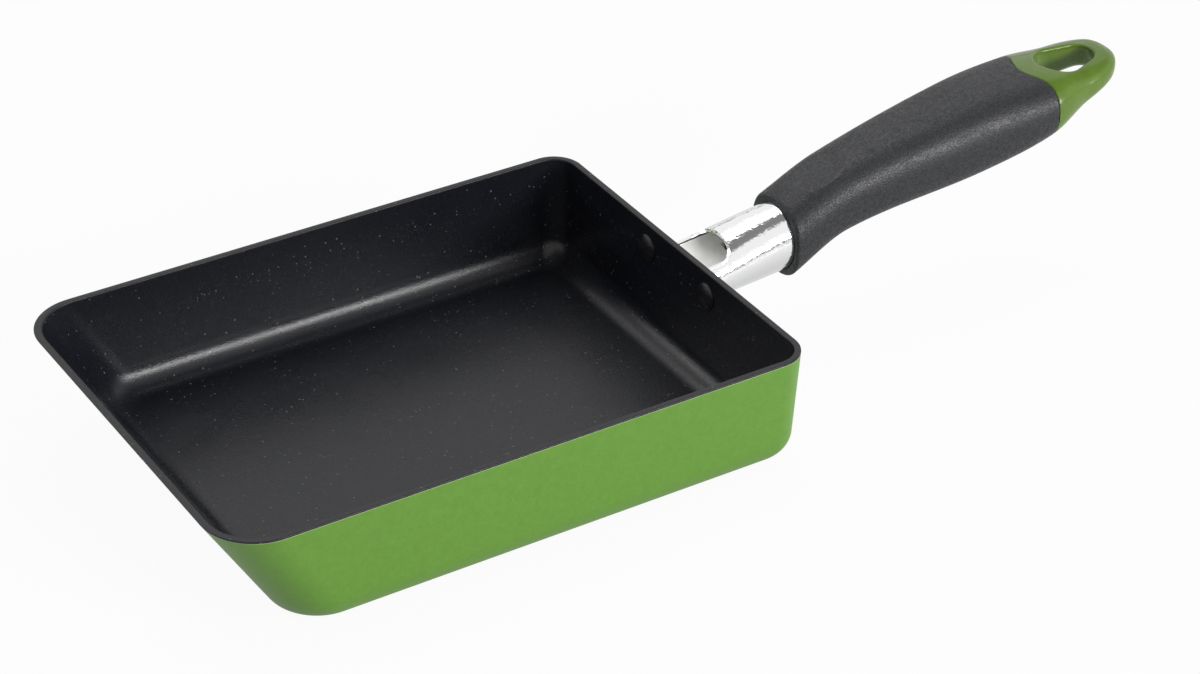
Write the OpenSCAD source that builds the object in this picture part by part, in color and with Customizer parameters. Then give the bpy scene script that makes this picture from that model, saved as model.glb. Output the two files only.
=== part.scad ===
// Rolled-omelette pan: a pressed aluminium pan with a riveted, bolted-on handle.
// +X runs from the sloped end to the handle, +Y to the left, +Z up.
// The origin is on the plane of the base, under the middle of the rim.

/* [Pan] */
// Outside length of the rim
pan_l = 185; // [160:1:220]
// Outside width of the rim
pan_w = 135; // [110:1:170]
// Height from the base to the rim
pan_h = 37; // [34:0.5:48]
// Thickness of the pressed walls
wall_t = 2; // [1.6:0.1:3]
// Thickness of the floor
floor_t = 2.5; // [1.6:0.1:4]
// Lean of the two long walls, in degrees
side_lean = 2; // [0:0.5:6]
// Lean of the wall that carries the handle, in degrees
back_lean = 3; // [0:0.5:6]
// Lean of the sloped end wall, in degrees
toe_lean = 31; // [20:1:38]
// Outside fillet between the floor and the upright walls
side_fillet = 10; // [6:0.5:12]
// Outside fillet between the floor and the sloped wall
toe_fillet = 9; // [6:0.5:14]
// Outside corner radius of the rim at the sloped end
toe_corner = 16.5; // [12:0.5:22]
// Outside corner radius of the rim at the handle end
back_corner = 9.5; // [8:0.5:16]
// Rounding of the rim's two edges
rim_round = 0.4; // [0.2:0.1:0.7]

/* [Rivets] */
// Distance between the two rivets
rivet_span = 32; // [30:0.5:40]
// Depth of the rivets below the rim
rivet_drop = 7.9; // [7:0.1:9]
// Diameter of a rivet's shank
rivet_d = 5; // [4:0.1:6]
// Diameter of the domed head inside the pan
head_d = 8.6; // [7:0.1:10]
// Height of the domed head
head_h = 1.4; // [1:0.1:2.5]
// Diameter of the formed tail outside
tail_d = 7.4; // [6:0.1:9]
// Height of the formed tail
tail_h = 1.5; // [1:0.1:2.5]
// Radial room round a rivet or a threaded shank
shank_fit = 0.05; // [0.03:0.01:0.1]

/* [Bracket] */
// Thickness of the flange that is riveted to the pan
flange_t = 1.8; // [1.5:0.1:3]
// Half height of the flange's ears
ear_r = 4.9; // [4.5:0.1:6]
// Radius of the flange's round middle
flange_r = 12.6; // [12.2:0.1:14]
// Thickness of the web that runs back inside the sleeve
web_t = 1.8; // [1.2:0.1:2.2]
// Inside radius of the web's shallow curve
web_r = 15.7; // [14:0.5:24]
// Height of the web's middle above the neck's axis
web_level = 1; // [0:0.1:1.6]
// Room round the nut in the web's window
web_room = 0.8; // [0.5:0.1:1]
// Distance along the neck from the pan to the clamping lug
lug_run = 24.5; // [22:0.5:25.5]
// Thickness of the clamping lug
lug_t = 2.5; // [2:0.1:4]

/* [Neck sleeve] */
// Depth of the neck's axis below the rim, at the pan
neck_drop = 9.9; // [9.5:0.1:12]
// Upward slope of the neck, in degrees
neck_rise = 6.6; // [4:0.2:10]
// Radius of the sleeve where it enters the grip
sleeve_r = 10.6; // [10.2:0.1:11.2]
// Half width of the sleeve at the pan
sleeve_a = 11.8; // [11:0.1:12]
// Half height of the sleeve at the pan
sleeve_b = 8.7; // [8.2:0.1:10]
// Thickness of the sleeve
sleeve_t = 0.9; // [0.6:0.1:1.2]
// Room between the sleeve and what it slides over or into
sleeve_fit = 0.2; // [0.1:0.05:0.3]
// Distance along the neck from the pan to the rear edge of the scoop
scoop_run = 13.4; // [9:0.2:18]
// Height of the scoop's floor above the neck's axis
scoop_level = 4.4; // [4.2:0.2:7]
// Radius of the scoop's inner corner
scoop_r = 5; // [2:0.5:6]

/* [Grip] */
// Distance from the rim to the front of the grip
neck_l = 33.2; // [31:0.2:45]
// Length of the grip, from its front lip to the seam
grip_l = 94.5; // [85:0.5:115]
// Width of the front lip
lip_w = 25; // [24.4:0.2:28]
// Thickness of the front lip
lip_t = 24.4; // [24.2:0.2:27]
// Rounding of the lip's front edge
lip_round = 0.7; // [0.3:0.1:0.9]
// Width of the waist behind the lip
waist_w = 25.6; // [24:0.2:30]
// Thickness of the waist
waist_t = 22.2; // [20:0.2:26]
// Rise of the centre line from the lip to the waist
waist_rise = 9.4; // [7:0.1:10.5]
// Width of the palm swell
palm_w = 32.4; // [28:0.2:36]
// Thickness of the palm swell
palm_t = 25.6; // [23:0.2:29]
// Rise of the centre line from the lip to the palm swell
palm_rise = 17.8; // [17:0.1:20]
// Fullness of the handle's cross-section, where 2 is an ellipse
fullness = 2.6; // [2.2:0.1:3.2]
// Depth to which the sleeve sits in the grip's front
socket_depth = 1.2; // [0.8:0.1:1.4]
// Length of the spigot that the grip pushes into the sleeve
spigot_l = 4; // [2:0.5:4.5]
// Depth of the thumb rest at its middle
thumb_dip = 1.6; // [0.8:0.1:2]
// Radius of the thumb rest's dish
thumb_r = 35; // [25:1:50]
// Distance from the lip to the middle of the thumb rest
thumb_run = 15; // [12:0.5:20]

/* [End cap] */
// Length of the cap, from the seam to the tip
cap_l = 31.5; // [29:0.5:40]
// Width at the seam
seam_w = 33.2; // [28:0.2:36]
// Thickness at the seam
seam_t = 21; // [20.6:0.2:25]
// Rise of the centre line from the lip to the seam
seam_rise = 21.6; // [20.6:0.1:23]
// Width at the middle of the hanging eye
eye_zone_w = 26.6; // [25:0.2:31]
// Thickness at the middle of the hanging eye
eye_zone_t = 13.2; // [12.6:0.2:18]
// Rise of the centre line from the lip to the hanging eye
eye_rise = 25.2; // [24:0.1:26.5]
// Width of the tip before it is rounded off
tip_w = 27; // [22:0.5:30]
// Thickness of the tip before it is rounded off
tip_t = 7.4; // [6:0.2:11]
// Rise of the centre line from the lip to the tip
tip_rise = 28.5; // [25:0.1:30]
// Length of the rounding of the nose, seen from above
nose_l = 17; // [12:0.5:20]
// Length of the rounding of the nose, seen from the side
nose_edge = 5; // [3:0.5:8]
// Length of the hanging eye
eye_l = 20.4; // [16:0.2:21]
// Width of the hanging eye
eye_w = 15; // [10:0.2:15.6]
// Distance from the eye's middle forward to its widest place
eye_wide = 2.5; // [0:0.5:2.5]
// Diameter of the hanging eye's front end
eye_front_d = 10; // [7:0.2:11]
// Diameter of the hanging eye's rear end
eye_rear_d = 11; // [7:0.2:12]
// Distance from the seam to the middle of the hanging eye
eye_run = 15; // [14:0.5:17]
// Slope of the hanging eye from upright, in degrees
eye_lean = 11; // [6:0.5:14]
// Bevel round the hanging eye's upper mouth
eye_bevel = 1; // [0.6:0.1:1.4]
// Bevel round its mouth underneath
eye_flare = 2; // [0.6:0.1:2.4]
// Length of the cap's tongue over the grip
tongue_l = 4.2; // [2:0.2:6]
// Width of the cap's tongue
tongue_w = 26; // [20:0.5:27]
// Thickness of the cap's tongue
tongue_t = 3; // [2:0.1:3.2]
// Room round the tongue and the tenon
cap_fit = 0.15; // [0.1:0.05:0.3]
// Radius of the cap's tenon
tenon_r = 5.4; // [4.5:0.1:5.6]

/* [Tie bolt] */
// Diameter of the bolt
bolt_d = 5; // [4:0.5:5]
// Distance from the seam to the washer's seat inside the grip
seat_back = 12.5; // [11:0.5:16]
// Diameter of the bolt's head
bolt_head_d = 9.2; // [8.5:0.1:9.6]
// Height of the bolt's head
bolt_head_h = 3; // [2.5:0.1:3.5]
// Width of the screwdriver's slot in the head
driver_w = 1.2; // [0.8:0.1:1.6]
// Outside diameter of the washer
washer_d = 10.2; // [10:0.1:10.6]
// Thickness of the washer
washer_t = 1; // [0.6:0.1:1.4]
// Width across the flats of the square nut
nut_w = 8; // [7.5:0.1:8.5]
// Thickness of the square nut
nut_t = 4; // [3:0.1:4]
// Length of bolt past the nut
bolt_past = 1.5; // [0.5:0.1:3]

/* [Hidden] */
$fn = 64;
corner_n = 8;
fillet_n = 7;
round_n = 3;
section_n = 44;
corner_give = 0.55;
least_corner = 1.2;
big = 400;
handle_l = grip_l + cap_l;
neck_n = 8;
// Inside radius of the grip's bore for the bolt
bolt_bore_r = bolt_d / 2 + 0.3;
sleeve_end = (neck_l + socket_depth) / cos(neck_rise);
spigot_r = sleeve_r - sleeve_t - sleeve_fit;
neck_x0 = pan_l / 2;
neck_z0 = pan_h - neck_drop;
grip_x0 = pan_l / 2 + neck_l;
grip_z0 = neck_z0 + neck_l * tan(neck_rise);
seam_x = grip_x0 + grip_l;
lug_x = neck_x0 + lug_run * cos(neck_rise);
lug_z = neck_z0 + lug_run * sin(neck_rise);
seat_x = seam_x - seat_back;
// Widths, thicknesses and rises along the handle, from the lip to the tip
stations = [
    [0, lip_w / 2, lip_t / 2, 0],
    [grip_l * 0.21, waist_w / 2, waist_t / 2, waist_rise],
    [grip_l * 0.73, palm_w / 2, palm_t / 2, palm_rise],
    [grip_l, seam_w / 2, seam_t / 2, seam_rise],
    [grip_l + eye_run, eye_zone_w / 2, eye_zone_t / 2, eye_rise],
    [handle_l, tip_w / 2, tip_t / 2, tip_rise]
];
// The bolt's head sits on the handle's centre line
seat_z = grip_z0 + handle_size(grip_l - seat_back)[2];
bolt_rise = atan2(seat_z - lug_z, seat_x - lug_x);
bolt_run = norm([seat_x - lug_x, seat_z - lug_z]);
head_end = bolt_run + washer_t + bolt_head_h;

// Skin a list of rings; closed joins the last ring to the first
module skin(rings, closed = false) {
    n = len(rings[0]);
    m = len(rings);
    last = closed ? m - 1 : m - 2;
    sides = [for (j = [0:last]) for (i = [0:n - 1])
        let (a = j * n + i, b = j * n + (i + 1) % n, c = ((j + 1) % m) * n + (i + 1) % n,
             d = ((j + 1) % m) * n + i)
        each [[a, c, b], [a, d, c]]];
    ends = [[for (i = [0:n - 1]) i], [for (i = [n - 1:-1:0]) (m - 1) * n + i]];
    polyhedron([for (r = rings) each r], closed ? sides : concat(sides, ends));
}

// How far a leaning wall with a fillet at its foot has come in at a depth
function inset(depth, lean, fillet, height) =
    depth <= height - fillet * (1 - sin(lean)) ? depth * tan(lean)
    : (height - fillet) * tan(lean) + fillet / cos(lean)
      - sqrt(max(0, pow(fillet, 2) - pow(depth - height + fillet, 2)));

// A level outline of the pan: t is the wall's thickness in from the outside
// surface, and edge is a further step in
function pan_ring(depth, t, floor_at, edge) =
    let (toe_in = t / cos(toe_lean) + inset(depth, toe_lean, toe_fillet - t, floor_at),
         back_in = t / cos(back_lean) + inset(depth, back_lean, side_fillet - t, floor_at),
         side_in = t / cos(side_lean) + inset(depth, side_lean, side_fillet - t, floor_at),
         give = t + corner_give * (side_in - t) + edge,
         r_toe = max(least_corner, toe_corner - give),
         r_back = max(least_corner, back_corner - give),
         x0 = -pan_l / 2 + toe_in + edge,
         x1 = pan_l / 2 - back_in - edge,
         w = pan_w / 2 - side_in - edge)
    [for (c = [[x1 - r_back, w - r_back, r_back, 0], [x0 + r_toe, w - r_toe, r_toe, 90],
               [x0 + r_toe, r_toe - w, r_toe, 180], [x1 - r_back, r_back - w, r_back, 270]])
        for (i = [0:corner_n])
            let (turn = c[3] + 90 * i / corner_n)
            [c[0] + c[2] * cos(turn), c[1] + c[2] * sin(turn), pan_h - depth]];

// Depths of the rings that follow the fillets down to a floor
function fillet_depths(floor_at, r) =
    [for (i = [0:fillet_n]) floor_at - r + r * sin(90 * i / fillet_n)];

// Place children on the outside face of the handle's wall, at the rivets'
// height, with +X pointing out of the pan
module on_back_wall() {
    translate([pan_l / 2 - rivet_drop * tan(back_lean), 0, pan_h - rivet_drop])
        rotate([0, back_lean, 0])
            children();
}

// Place children at the neck's start, with +X along its axis
module along_neck() {
    translate([neck_x0, 0, neck_z0])
        rotate([0, -neck_rise, 0])
            children();
}

// Place children at the clamping lug, with +X along the bolt
module along_bolt() {
    translate([lug_x, 0, lug_z])
        rotate([0, -bolt_rise, 0])
            children();
}

// A cylinder along +X from one distance to another
module rod(r, from, to) {
    translate([from, 0, 0])
        rotate([0, 90, 0])
            cylinder(r = r, h = to - from);
}

// Turn a profile about the +X axis; the profile's own Y runs along +X
module turned() {
    rotate([0, 90, 0])
        rotate_extrude()
            children();
}

// Half of a low dome's profile, standing on the line y = 0
module dome_profile(d, h) {
    ball = (pow(d / 2, 2) + pow(h, 2)) / (2 * h);
    intersection() {
        translate([0, h - ball])
            circle(r = ball);
        square([d / 2, h]);
    }
}

// Everything on the pan's side of the plane x = 0
module behind() {
    translate([-big, -big / 2, -big / 2])
        cube([big, big, big]);
}

module pan_body() {
    outer_r = max(side_fillet, toe_fillet);
    inner_at = pan_h - floor_t;
    outside = [for (d = fillet_depths(pan_h, outer_r)) pan_ring(d, 0, pan_h, 0)];
    edge_out = [for (i = [round_n:-1:0])
        pan_ring(rim_round * (1 - cos(90 * i / round_n)), 0, pan_h,
                 rim_round * (1 - sin(90 * i / round_n)))];
    edge_in = [for (i = [0:round_n])
        pan_ring(rim_round * (1 - cos(90 * i / round_n)), wall_t, inner_at,
                 -rim_round * (1 - sin(90 * i / round_n)))];
    inside = [for (d = fillet_depths(inner_at, outer_r - wall_t)) pan_ring(d, wall_t, inner_at, 0)];
    color("#6fa544")
        difference() {
            skin(concat([for (i = [fillet_n:-1:0]) outside[i]], edge_out, edge_in, inside));
            on_back_wall()
                for (side = [-1, 1])
                    translate([0, side * rivet_span / 2, 0])
                        rod(rivet_d / 2 + shank_fit, -3 * wall_t, 2 * wall_t);
        }
}

module handle_rivets() {
    color("#2c2c2e")
        on_back_wall()
            for (side = [-1, 1])
                translate([0, side * rivet_span / 2, 0])
                    turned() {
                        translate([0, -wall_t])
                            square([rivet_d / 2, wall_t + flange_t]);
                        translate([0, -wall_t])
                            mirror([0, 1])
                                dome_profile(head_d, head_h);
                        translate([0, flange_t])
                            dome_profile(tail_d, tail_h);
                    }
}

// Half width and half height of the neck at a distance from the pan
function neck_half(s, shrink) =
    let (t = min(1, max(0, s / neck_l)), k = t * t * (3 - 2 * t))
    [sleeve_a + (sleeve_r - sleeve_a) * k - shrink, sleeve_b + (sleeve_r - sleeve_b) * k - shrink];

function neck_ring(s, shrink) =
    let (half = neck_half(s, shrink))
    [for (i = [0:section_n - 1])
        let (turn = 360 * i / section_n)
        [s, half[0] * cos(turn), half[1] * sin(turn)]];

// A tube that follows the neck, from its outside in by shrink, t thick
module neck_tube(from, to, shrink, t) {
    runs = [for (j = [0:neck_n]) from + (to - from) * j / neck_n];
    skin(concat([for (s = runs) neck_ring(s, shrink)],
                [for (j = [neck_n:-1:0]) neck_ring(runs[j], shrink + t)]), true);
}

// Everything inside the neck's outside surface, shrunk
module neck_solid(from, to, shrink) {
    skin([for (j = [0:neck_n]) neck_ring(from + (to - from) * j / neck_n, shrink)]);
}

module neck_sleeve() {
    color("#d9dadd")
        difference() {
            along_neck()
                difference() {
                    neck_tube(-flange_t, sleeve_end, 0, sleeve_t);
                    scoop();
                }
            on_back_wall()
                translate([flange_t, 0, 0])
                    behind();
        }
}

// The scoop in the sleeve's roof, next to the pan
module scoop() {
    rotate([90, 0, 0])
        linear_extrude(big, center = true) {
            translate([scoop_run - scoop_r, scoop_level + scoop_r])
                circle(r = scoop_r);
            translate([-big, scoop_level])
                square([big + scoop_run - scoop_r, big]);
            translate([-big, scoop_level + scoop_r])
                square([big + scoop_run, big]);
        }
}

module handle_bracket() {
    axis_drop = neck_drop - rivet_drop;
    color("#b9bbbf")
        difference() {
            union() {
                on_back_wall()
                    rotate([90, 0, 90])
                        linear_extrude(flange_t)
                            flange_outline(axis_drop);
                difference() {
                    along_neck()
                        intersection() {
                            neck_solid(-flange_t, lug_run, sleeve_t + sleeve_fit);
                            web_curve();
                        }
                    on_back_wall()
                        translate([flange_t / 2, 0, 0])
                            behind();
                    along_bolt()
                        nut_window();
                }
                along_bolt()
                    rod(neck_half(lug_run, sleeve_t + 2 * sleeve_fit)[1], -lug_t / 2, lug_t / 2);
            }
            on_back_wall()
                for (side = [-1, 1])
                    translate([0, side * rivet_span / 2, 0])
                        rod(rivet_d / 2 + shank_fit, -wall_t, 2 * flange_t);
            along_bolt()
                rod(bolt_bore_r, -lug_t, lug_t);
        }
}

// The web's shallow curve, carried along the neck
module web_curve() {
    translate([0, 0, web_level + web_r])
        difference() {
            rod(web_r + web_t, -3 * flange_t, lug_run + lug_t);
            rod(web_r, -4 * flange_t, lug_run + 2 * lug_t);
        }
}

// The window in the web over the nut and the bolt's end
module nut_window() {
    ahead = nut_t + bolt_past + web_room;
    half = nut_w / 2 + web_room;
    translate([-lug_t / 2 - ahead, -half, -half])
        cube([ahead, 2 * half, 2 * half + web_t]);
}

// The flange: a bar with round ears and a round middle behind the sleeve
module flange_outline(axis_drop) {
    for (side = [-1, 1])
        translate([side * rivet_span / 2, 0])
            circle(r = ear_r);
    square([rivet_span, 2 * ear_r], center = true);
    intersection() {
        translate([0, -axis_drop])
            circle(r = flange_r);
        translate([-big / 2, ear_r - big])
            square([big, big]);
    }
}

// A smooth curve through the stations: k is the column to read at u
function slope_at(i, k) =
    let (a = max(0, i - 1), b = min(len(stations) - 1, i + 1))
    (stations[b][k] - stations[a][k]) / (stations[b][0] - stations[a][0]);

function span_of(u, i = 0) = i >= len(stations) - 2 || u < stations[i + 1][0] ? i : span_of(u, i + 1);

function station(u, k) =
    let (i = span_of(u), p = stations[i], q = stations[i + 1], run = q[0] - p[0], t = (u - p[0]) / run,
         t2 = t * t, t3 = t2 * t)
    p[k] * (2 * t3 - 3 * t2 + 1) + q[k] * (3 * t2 - 2 * t3)
    + run * (slope_at(i, k) * (t3 - 2 * t2 + t) + slope_at(i + 1, k) * (t3 - t2));

// How much of the size is left as the nose closes over its last length
function closing(u, length) =
    u <= handle_l - length ? 1 : sqrt(max(0, 1 - pow((u - handle_l + length) / length, 2)));

function handle_size(u) =
    [station(u, 1) * closing(u, nose_l), station(u, 2) * closing(u, nose_edge), station(u, 3)];

function power(v, e) = sign(v) * pow(abs(v), e);

function handle_ring(u, edge = 0) =
    let (size = handle_size(u))
    [for (i = [0:section_n - 1])
        let (turn = 360 * i / section_n)
        [grip_x0 + u, (size[0] - edge) * power(cos(turn), 2 / fullness),
         grip_z0 + size[2] + (size[1] - edge) * power(sin(turn), 2 / fullness)]];

// The handle's outside from the lip to the seam
module grip_blank() {
    steps = 22;
    skin(concat(
        [for (i = [0:round_n])
            handle_ring(lip_round * (1 - cos(90 * i / round_n)), lip_round * (1 - sin(90 * i / round_n)))],
        [for (j = [1:steps]) handle_ring(lip_round + (grip_l - lip_round) * j / steps)]));
}

// The handle's outside from just before the seam to the tip
module cap_blank() {
    start = grip_l - 2 * tongue_l;
    plain = 10;
    nose = 9;
    edge = 0.02;
    skin(concat(
        [for (j = [0:plain - 1]) handle_ring(start + (handle_l - nose_l - start) * j / plain)],
        [for (j = [0:nose - 1]) handle_ring(handle_l - nose_l + nose_l * sin(90 * j / nose))],
        [handle_ring(handle_l - edge)]));
}

// The tongue's outline from above, standing on its floor; grow widens it
module tongue(grow) {
    steps = 14;
    half = tongue_w / 2 + grow;
    floor_z = grip_z0 + seam_rise + seam_t / 2 - tongue_t;
    translate([seam_x, 0, floor_z])
        linear_extrude(big)
            polygon(concat([[tongue_l, half], [tongue_l, -half]],
                [for (j = [0:steps])
                    let (y = -half + 2 * half * j / steps)
                    [-(tongue_l + grow) * pow(cos(90 * y / half), 2), y]]));
}

module grip() {
    thumb_z = grip_z0 + station(thumb_run, 3) + station(thumb_run, 2);
    color("#2a2b2d")
        difference() {
            union() {
                difference() {
                    grip_blank();
                    along_neck()
                        rod(sleeve_r + sleeve_fit, 0, sleeve_end);
                }
                along_neck()
                    rod(spigot_r, neck_l - spigot_l, sleeve_end + 1);
            }
            tongue(cap_fit);
            along_bolt() {
                rod(bolt_bore_r, 0, bolt_run + 1);
                rod(tenon_r + cap_fit, bolt_run, bolt_run + 3 * seat_back);
            }
            translate([grip_x0 + thumb_run, 0, thumb_z + thumb_r - thumb_dip])
                sphere(r = thumb_r);
        }
}

module end_cap() {
    color("#6d9436")
        difference() {
            union() {
                intersection() {
                    cap_blank();
                    union() {
                        translate([seam_x, -big / 2, -big / 2])
                            cube([big, big, big]);
                        tongue(0);
                    }
                }
                along_bolt()
                    rod(tenon_r, head_end + 1, bolt_run + seat_back + 2);
            }
            hanging_eye();
        }
}

// An egg-shaped slot, grown all round
module eye_outline(grow) {
    hull()
        for (c = [[(eye_l - eye_rear_d) / 2, eye_rear_d], [-eye_wide, eye_w],
                  [-(eye_l - eye_front_d) / 2, eye_front_d]])
            translate([c[0], 0])
                circle(d = c[1] + 2 * grow, $fn = 36);
}

module hanging_eye() {
    u = grip_l + eye_run;
    reach = 2;
    translate([grip_x0 + u, 0, grip_z0 + station(u, 3)])
        rotate([0, -eye_lean, 0]) {
            translate([0, 0, -big / 2])
                linear_extrude(big)
                    eye_outline(0);
            for (mouth = [[1, eye_bevel], [-1, eye_flare]])
                hull() {
                    translate([0, 0, mouth[0] * (eye_zone_t / 2 - mouth[1])])
                        linear_extrude(0.01)
                            eye_outline(0);
                    translate([0, 0, mouth[0] * (eye_zone_t / 2 + reach)])
                        linear_extrude(0.01)
                            eye_outline(mouth[1] + reach);
                }
        }
}

module tie_bolt() {
    color("#a9abae")
        along_bolt()
            difference() {
                turned() {
                    translate([0, -lug_t / 2 - nut_t - bolt_past])
                        square([bolt_d / 2, lug_t / 2 + nut_t + bolt_past + bolt_run + washer_t
                                            + bolt_head_h / 3]);
                    translate([0, bolt_run + washer_t])
                        dome_profile(bolt_head_d, bolt_head_h);
                }
                translate([head_end, 0, 0])
                    for (turn = [0, 90])
                        rotate([turn, 0, 0])
                            cube([bolt_head_h, bolt_head_d / 2, driver_w], center = true);
            }
}

module bolt_washer() {
    color("#b4b6b8")
        along_bolt()
            difference() {
                rod(washer_d / 2, bolt_run, bolt_run + washer_t);
                rod(bolt_d / 2 + shank_fit, bolt_run - washer_t, bolt_run + 2 * washer_t);
            }
}

module bracket_nut() {
    color("#9c9ea1")
        along_bolt()
            difference() {
                translate([-lug_t / 2 - nut_t, -nut_w / 2, -nut_w / 2])
                    cube([nut_t, nut_w, nut_w]);
                rod(bolt_d / 2 + shank_fit, -big, big);
            }
}

pan_body();
handle_rivets();
handle_bracket();
neck_sleeve();
grip();
end_cap();
tie_bolt();
bolt_washer();
bracket_nut();
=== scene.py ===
"""Looks of a rolled-omelette pan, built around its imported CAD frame.

Sizes are in millimetres, as on the pan's drawing, and every mesh is made in metres.
+X runs from the sloped end to the handle, +Y to the left, +Z up.
"""

import logging
import math
from dataclasses import dataclass
from enum import Enum
from typing import ClassVar, Optional, Sequence

import bmesh
import bpy
import numpy as np
from mathutils import Matrix, Vector


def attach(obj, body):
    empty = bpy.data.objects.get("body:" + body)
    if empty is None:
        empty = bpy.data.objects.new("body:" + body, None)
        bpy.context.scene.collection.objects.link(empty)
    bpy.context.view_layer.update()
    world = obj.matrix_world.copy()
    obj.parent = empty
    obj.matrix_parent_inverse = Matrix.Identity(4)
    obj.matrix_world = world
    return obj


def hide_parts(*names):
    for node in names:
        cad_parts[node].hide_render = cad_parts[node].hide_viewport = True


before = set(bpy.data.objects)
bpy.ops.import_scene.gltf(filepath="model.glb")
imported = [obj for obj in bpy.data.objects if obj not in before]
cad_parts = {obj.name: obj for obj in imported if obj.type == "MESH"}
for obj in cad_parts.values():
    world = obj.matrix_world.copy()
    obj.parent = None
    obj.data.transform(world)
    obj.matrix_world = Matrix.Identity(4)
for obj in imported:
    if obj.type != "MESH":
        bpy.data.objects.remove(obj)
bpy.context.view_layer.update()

MM = 0.001
IMAGE_WIDTH_PX = 1200
ROOT_BODY = "root"

log = logging.getLogger("omelette_pan")

Ring = np.ndarray
Object = bpy.types.Object
Node = bpy.types.Node
Socket = bpy.types.NodeSocket
Tree = bpy.types.NodeTree
Colour = tuple[float, float, float]


# Small maths

def sin_deg(angle: float) -> float:
    """Sine of an angle in degrees."""
    return math.sin(math.radians(angle))


def cos_deg(angle: float) -> float:
    """Cosine of an angle in degrees."""
    return math.cos(math.radians(angle))


def tan_deg(angle: float) -> float:
    """Tangent of an angle in degrees."""
    return math.tan(math.radians(angle))


def quarter_turn(steps: int) -> list[float]:
    """Angles in degrees from 0 to 90 in equal steps, ends included."""
    return [90 * i / steps for i in range(steps + 1)]


def signed_power(value: np.ndarray, exponent: float) -> np.ndarray:
    """The size of each value raised to an exponent, with its own sign kept."""
    return np.sign(value) * np.abs(value) ** exponent


def smoothstep(value: np.ndarray) -> np.ndarray:
    """A soft step from 0 to 1 over values from 0 to 1."""
    held = np.clip(value, 0, 1)
    return held * held * (3 - 2 * held)


def full_turn(around: int) -> np.ndarray:
    """Directions once round in radians, in equal steps from 0."""
    return np.linspace(0, 2 * math.pi, around, endpoint=False)


def ellipse(x: float, half_width: float, half_height: float, around: int) -> Ring:
    """An upright ring about the +X axis."""
    turn = full_turn(around)
    return np.stack([np.full(around, x), half_width * np.cos(turn), half_height * np.sin(turn)], 1)


def shift(x: float, y: float, z: float) -> Matrix:
    """A move by millimetres."""
    return Matrix.Translation((x * MM, y * MM, z * MM))


def tilt(angle: float) -> Matrix:
    """A turn about the Y axis by degrees."""
    return Matrix.Rotation(math.radians(angle), 4, "Y")


# Meshes

def link(name: str, data: bpy.types.ID) -> Object:
    """Makes an object from its data and links it to the scene."""
    made = bpy.data.objects.new(name, data)
    bpy.context.scene.collection.objects.link(made)
    return made


def mesh_object(name: str, points: Sequence, faces: Sequence) -> Object:
    """Makes an object at the origin.

    Args:
        name: The object's name.
        points: Its vertices, in millimetres.
        faces: Tuples of vertex numbers.

    Returns:
        The new object, linked to the scene.
    """
    mesh = bpy.data.meshes.new(name)
    mesh.from_pydata([tuple(float(c) * MM for c in p) for p in points], [], [tuple(f) for f in faces])
    mesh.validate()
    return link(name, mesh)


def skin_object(name: str, rings: Sequence[Ring], closed: bool = False) -> Object:
    """A skin over rings, capped at both ends unless the last ring joins the first.

    Args:
        name: The object's name.
        rings: Arrays of points in millimetres, all of one length.
        closed: Whether the last ring joins the first.

    Returns:
        The new object, with its faces pointing outwards.
    """
    count, around = len(rings), len(rings[0])
    faces = []
    for j in range(count if closed else count - 1):
        a, b = j * around, (j + 1) % count * around
        faces += [(a + i, a + (i + 1) % around, b + (i + 1) % around, b + i) for i in range(around)]
    if not closed:
        last = (count - 1) * around
        faces += [tuple(reversed(range(around))), tuple(range(last, last + around))]
    piece = mesh_object(name, np.concatenate(rings), faces)
    tidy_mesh(piece)
    return piece


def tidy_mesh(piece: Object, distance: float = 1e-4) -> None:
    """Merges doubled points, drops faces with no area and turns the faces outwards.

    Args:
        piece: The object to tidy.
        distance: How near two points are merged, in millimetres.
    """
    work = bmesh.new()
    work.from_mesh(piece.data)
    bmesh.ops.remove_doubles(work, verts=work.verts, dist=distance * MM)
    bmesh.ops.dissolve_degenerate(work, edges=work.edges, dist=distance * MM / 10)
    bmesh.ops.recalc_face_normals(work, faces=work.faces)
    work.to_mesh(piece.data)
    work.free()


def settle(piece: Object) -> None:
    """Turns an object's modifiers into plain mesh and removes them."""
    bpy.context.view_layer.update()
    evaluated = piece.evaluated_get(bpy.context.evaluated_depsgraph_get())
    mesh = bpy.data.meshes.new_from_object(evaluated)
    piece.modifiers.clear()
    piece.data = mesh


def modify(piece: Object, kind: str, **settings) -> None:
    """Runs one modifier on a piece.

    Args:
        piece: The object to change.
        kind: The modifier's type.
        settings: Its properties.
    """
    modifier = piece.modifiers.new("step", kind)
    for key, value in settings.items():
        setattr(modifier, key, value)
    settle(piece)


def cut(piece: Object, tool: Object, operation: str = "DIFFERENCE") -> None:
    """Cuts, joins or crosses a piece with a tool, which is used up."""
    modify(piece, "BOOLEAN", operation=operation, solver="EXACT", object=tool)
    bpy.data.objects.remove(tool, do_unlink=True)


def round_edges(piece: Object, width: float, least_turn: float = 50) -> None:
    """Rounds the edges that turn more than an angle in degrees, over a width in millimetres."""
    modify(piece, "BEVEL", width=width * MM, segments=2, limit_method="ANGLE",
           angle_limit=math.radians(least_turn), use_clamp_overlap=True, miter_outer="MITER_ARC")


def shade(piece: Object, sharp_deg: float, weighted: bool) -> None:
    """Smooths a piece's shading, apart from its sharp edges.

    Args:
        piece: The object to shade.
        sharp_deg: Edges that turn more than this stay sharp.
        weighted: Whether large flat faces hold their own direction.
    """
    piece.data.shade_smooth()
    piece.data.set_sharp_from_angle(angle=math.radians(sharp_deg))
    if weighted:
        modify(piece, "WEIGHTED_NORMAL", mode="FACE_AREA", keep_sharp=True)


def move_mesh(piece: Object, matrix: Matrix) -> None:
    """Moves an object's mesh and leaves the object at the origin."""
    piece.data.transform(matrix)
    piece.data.update()


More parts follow.
